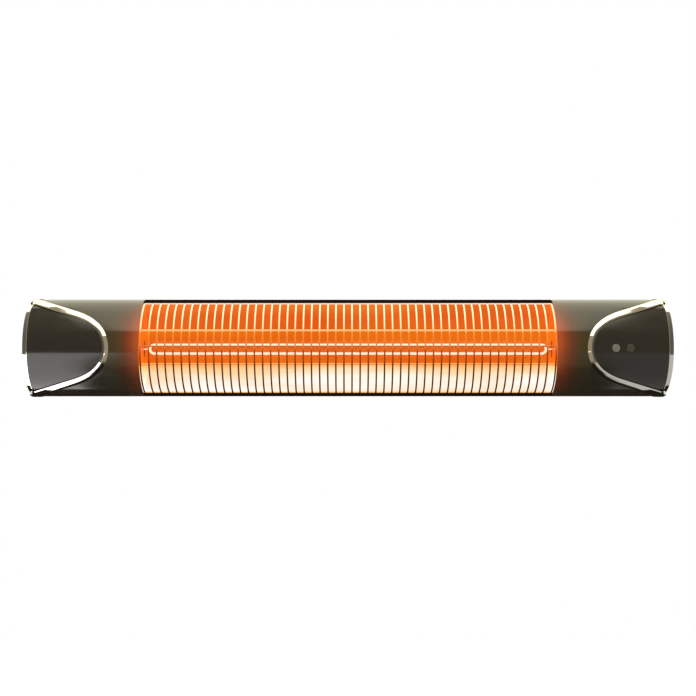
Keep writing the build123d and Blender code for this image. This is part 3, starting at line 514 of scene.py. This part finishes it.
# Studio -----------------------------------------------------------------------------------------
FLOOR_Z = -0.75
FLOOR_HALF = 1.6
SCRIM_Z = 1.0
SCRIM_HALF_X = 0.56
SCRIM_ANGLE = 40  # of its near edge above level, seen from the body
SCRIM_OVER_Y = AXIS_Y + 0.35
REAR_HALF_X = 1.3
REAR_Y = SCRIM_OVER_Y + 1.6
REAR_Z = 0.25
LOW_CARD_FAR_Y = AXIS_Y - 3.6
WARM_CLOTH = "#fff6d8"
WARM_REAR_CLOTH = "#fff8dc"
KHAKI = "#a89a80"
SIDE_GREY = "#a09e96"


def stage_card(name, corners, finish, seen=False):
    """A flat studio card. Unless it is seen, only reflections show it."""
    mesh = bpy.data.meshes.new(name)
    shape = bmesh.new()
    shape.faces.new([shape.verts.new(corner) for corner in corners])
    shape.to_mesh(mesh)
    shape.free()
    mesh.materials.append(finish)
    card = bpy.data.objects.new(name, mesh)
    bpy.context.scene.collection.objects.link(card)
    card.visible_camera = seen
    card.visible_glossy = not seen
    card.visible_diffuse = seen
    card.visible_shadow = False


def glowing_cloth(name, colour, near, far):
    """Lit studio cloth. near and far are each a Y and the strength there."""
    finish, tree, spot = begin(name)
    place = node(tree, "ShaderNodeSeparateXYZ", {0: spot})
    strength = node(
        tree, "ShaderNodeMapRange",
        {
            "Value": place.outputs["Y"], "From Min": near[0], "From Max": far[0],
            "To Min": near[1], "To Max": far[1],
        },
    )
    return coat(
        finish,
        {
            "Base Color": "#000000", "Roughness": 1.0, "Specular IOR Level": 0.0,
            "Emission Color": colour, "Emission Strength": strength,
        },
    )


def pale_floor():
    """Pale matt floor paint; a painted glow brightens it towards its edges into the white of the room.
    """
    finish, tree, spot = begin("pale_floor_paint")
    patches = node(tree, "ShaderNodeTexNoise", {"Vector": spot, "Scale": across(400), "Detail": 3.0})
    paint = node(
        tree, "ShaderNodeValToRGB", {"Fac": patches}, stops=[(0.0, "#dddee1"), (1.0, "#dedfe2")]
    )
    away = node(tree, "ShaderNodeVectorMath", {0: spot}, operation="LENGTH").outputs["Value"]
    edge_light = node(
        tree, "ShaderNodeMapRange",
        {"Value": away, "From Min": 1.1, "From Max": FLOOR_HALF, "To Min": 0.42, "To Max": 1.3},
        interpolation_type="SMOOTHSTEP",
    )
    return coat(
        finish,
        {
            "Base Color": paint, "Roughness": 0.9,
            "Emission Color": "#f8f9ff", "Emission Strength": edge_light,
        },
    )


def area_light(name, size, location, target, power, colour):
    """A soft box aimed at target. The cards, not the box, show in reflections."""
    data = bpy.data.lights.new(name, "AREA")
    data.shape = "RECTANGLE"
    data.size, data.size_y = size
    data.energy = power
    data.color = linear(colour)[:3]
    light = bpy.data.objects.new(name, data)
    light.location = location
    light.rotation_euler = (Vector(target) - Vector(location)).to_track_quat("-Z", "Y").to_euler()
    light.visible_glossy = False
    bpy.context.scene.collection.objects.link(light)


def build_room():
    """White to the eye. What the gloss sees is khaki in front, darker to the sides and dark below."""
    world = bpy.data.worlds.new("studio")
    bpy.context.scene.world = world
    world.use_nodes = True
    tree = world.node_tree
    tree.nodes.clear()
    spot = node(tree, "ShaderNodeTexCoord").outputs["Generated"]
    way = node(tree, "ShaderNodeSeparateXYZ", {0: spot})
    side = node(tree, "ShaderNodeMath", {0: way.outputs["X"]}, operation="ABSOLUTE")
    sideways = node(
        tree, "ShaderNodeMapRange",
        {"Value": side, "From Min": 0.35, "From Max": 0.8, "To Min": 1.0, "To Max": 0.3},
        interpolation_type="SMOOTHSTEP",
    )
    behind = node(tree, "ShaderNodeMath", {0: way.outputs["Y"], 1: 0.0}, operation="MAXIMUM")
    level = node(tree, "ShaderNodeMath", {0: way.outputs["Z"], 1: behind}, operation="SUBTRACT")
    height = node(
        tree, "ShaderNodeMapRange",
        {"Value": level, "From Min": -0.8, "From Max": -0.6, "To Min": 0.04, "To Max": 1.0},
        interpolation_type="SMOOTHSTEP",
    )
    reach = node(tree, "ShaderNodeMath", {0: sideways, 1: height}, operation="MULTIPLY")
    tint = node(
        tree, "ShaderNodeValToRGB", {"Fac": sideways}, stops=[(0.0, SIDE_GREY), (1.0, KHAKI)]
    )
    felt = node(tree, "ShaderNodeBackground", {"Color": tint, "Strength": reach})
    seen = node(tree, "ShaderNodeBackground", {"Color": "#ffffff", "Strength": 1.0})
    ray = node(tree, "ShaderNodeLightPath").outputs["Is Camera Ray"]
    mixed = node(tree, "ShaderNodeMixShader", {0: ray, 1: felt, 2: seen})
    node(tree, "ShaderNodeOutputWorld", {"Surface": mixed})


def build_studio():
    """Pale floor, an overhead scrim that gives the body its light upper zone, and a low card at each
    side that lights the inner bevels of the bright trims."""
    build_room()
    half = FLOOR_HALF
    floor = [(-half, -half), (half, -half), (half, half), (-half, half)]
    stage_card("floor", [(x, y, FLOOR_Z) for x, y in floor], pale_floor(), seen=True)

    near = AXIS_Y - SCRIM_Z / math.tan(math.radians(SCRIM_ANGLE))
    over = SCRIM_OVER_Y
    scrim = [(-SCRIM_HALF_X, near), (SCRIM_HALF_X, near), (SCRIM_HALF_X, over), (-SCRIM_HALF_X, over)]
    cloth = glowing_cloth("scrim_cloth", WARM_CLOTH, (near, 3.0), (over, 2.5))
    stage_card("scrim", [(x, y, SCRIM_Z) for x, y in scrim], cloth)
    rear = [
        (-REAR_HALF_X, over, SCRIM_Z), (REAR_HALF_X, over, SCRIM_Z),
        (REAR_HALF_X, REAR_Y, REAR_Z), (-REAR_HALF_X, REAR_Y, REAR_Z),
    ]
    cloth = glowing_cloth("rear_scrim_cloth", WARM_REAR_CLOTH, (over, 2.3), (REAR_Y, 0.7))
    stage_card("rear_scrim", rear, cloth)

    # the inner edge of each low card sets how far along the end cap its light reaches
    outline = [
        (0.48, AXIS_Y + 0.3), (0.47, AXIS_Y - 0.35), (0.95, LOW_CARD_FAR_Y),
        (3.0, LOW_CARD_FAR_Y), (2.4, AXIS_Y - 0.35), (0.9, AXIS_Y + 0.3),
    ]
    for name, sign, strength in (("left", -1, 3.2), ("right", 1, 0.6)):
        corners = [(sign * x, y, FLOOR_Z + 10 * MM) for x, y in outline]
        reach = ((LOW_CARD_FAR_Y, strength), (AXIS_Y, strength))
        stage_card(f"{name}_low_card", corners, glowing_cloth(f"{name}_card_board", "#fffdfa", *reach))

    area_light("overhead_box", (2.2, 1.4), (0, -0.45, 1.05), (0, -0.1, 0), 34, "#fffdf8")
    area_light("front_fill", (1.2, 0.6), (0, -2.2, 0.3), (0, -0.1, 0), 5, "#fff4e2")
    area_light("back_fill", (1.8, 1.0), (0.4, 2.2, 0.9), (0, 0, 0), 60, "#ffffff")


place_camera()
bpy.context.scene.view_settings.view_transform = "Standard"
paint_cad_nodes()
build_studio()
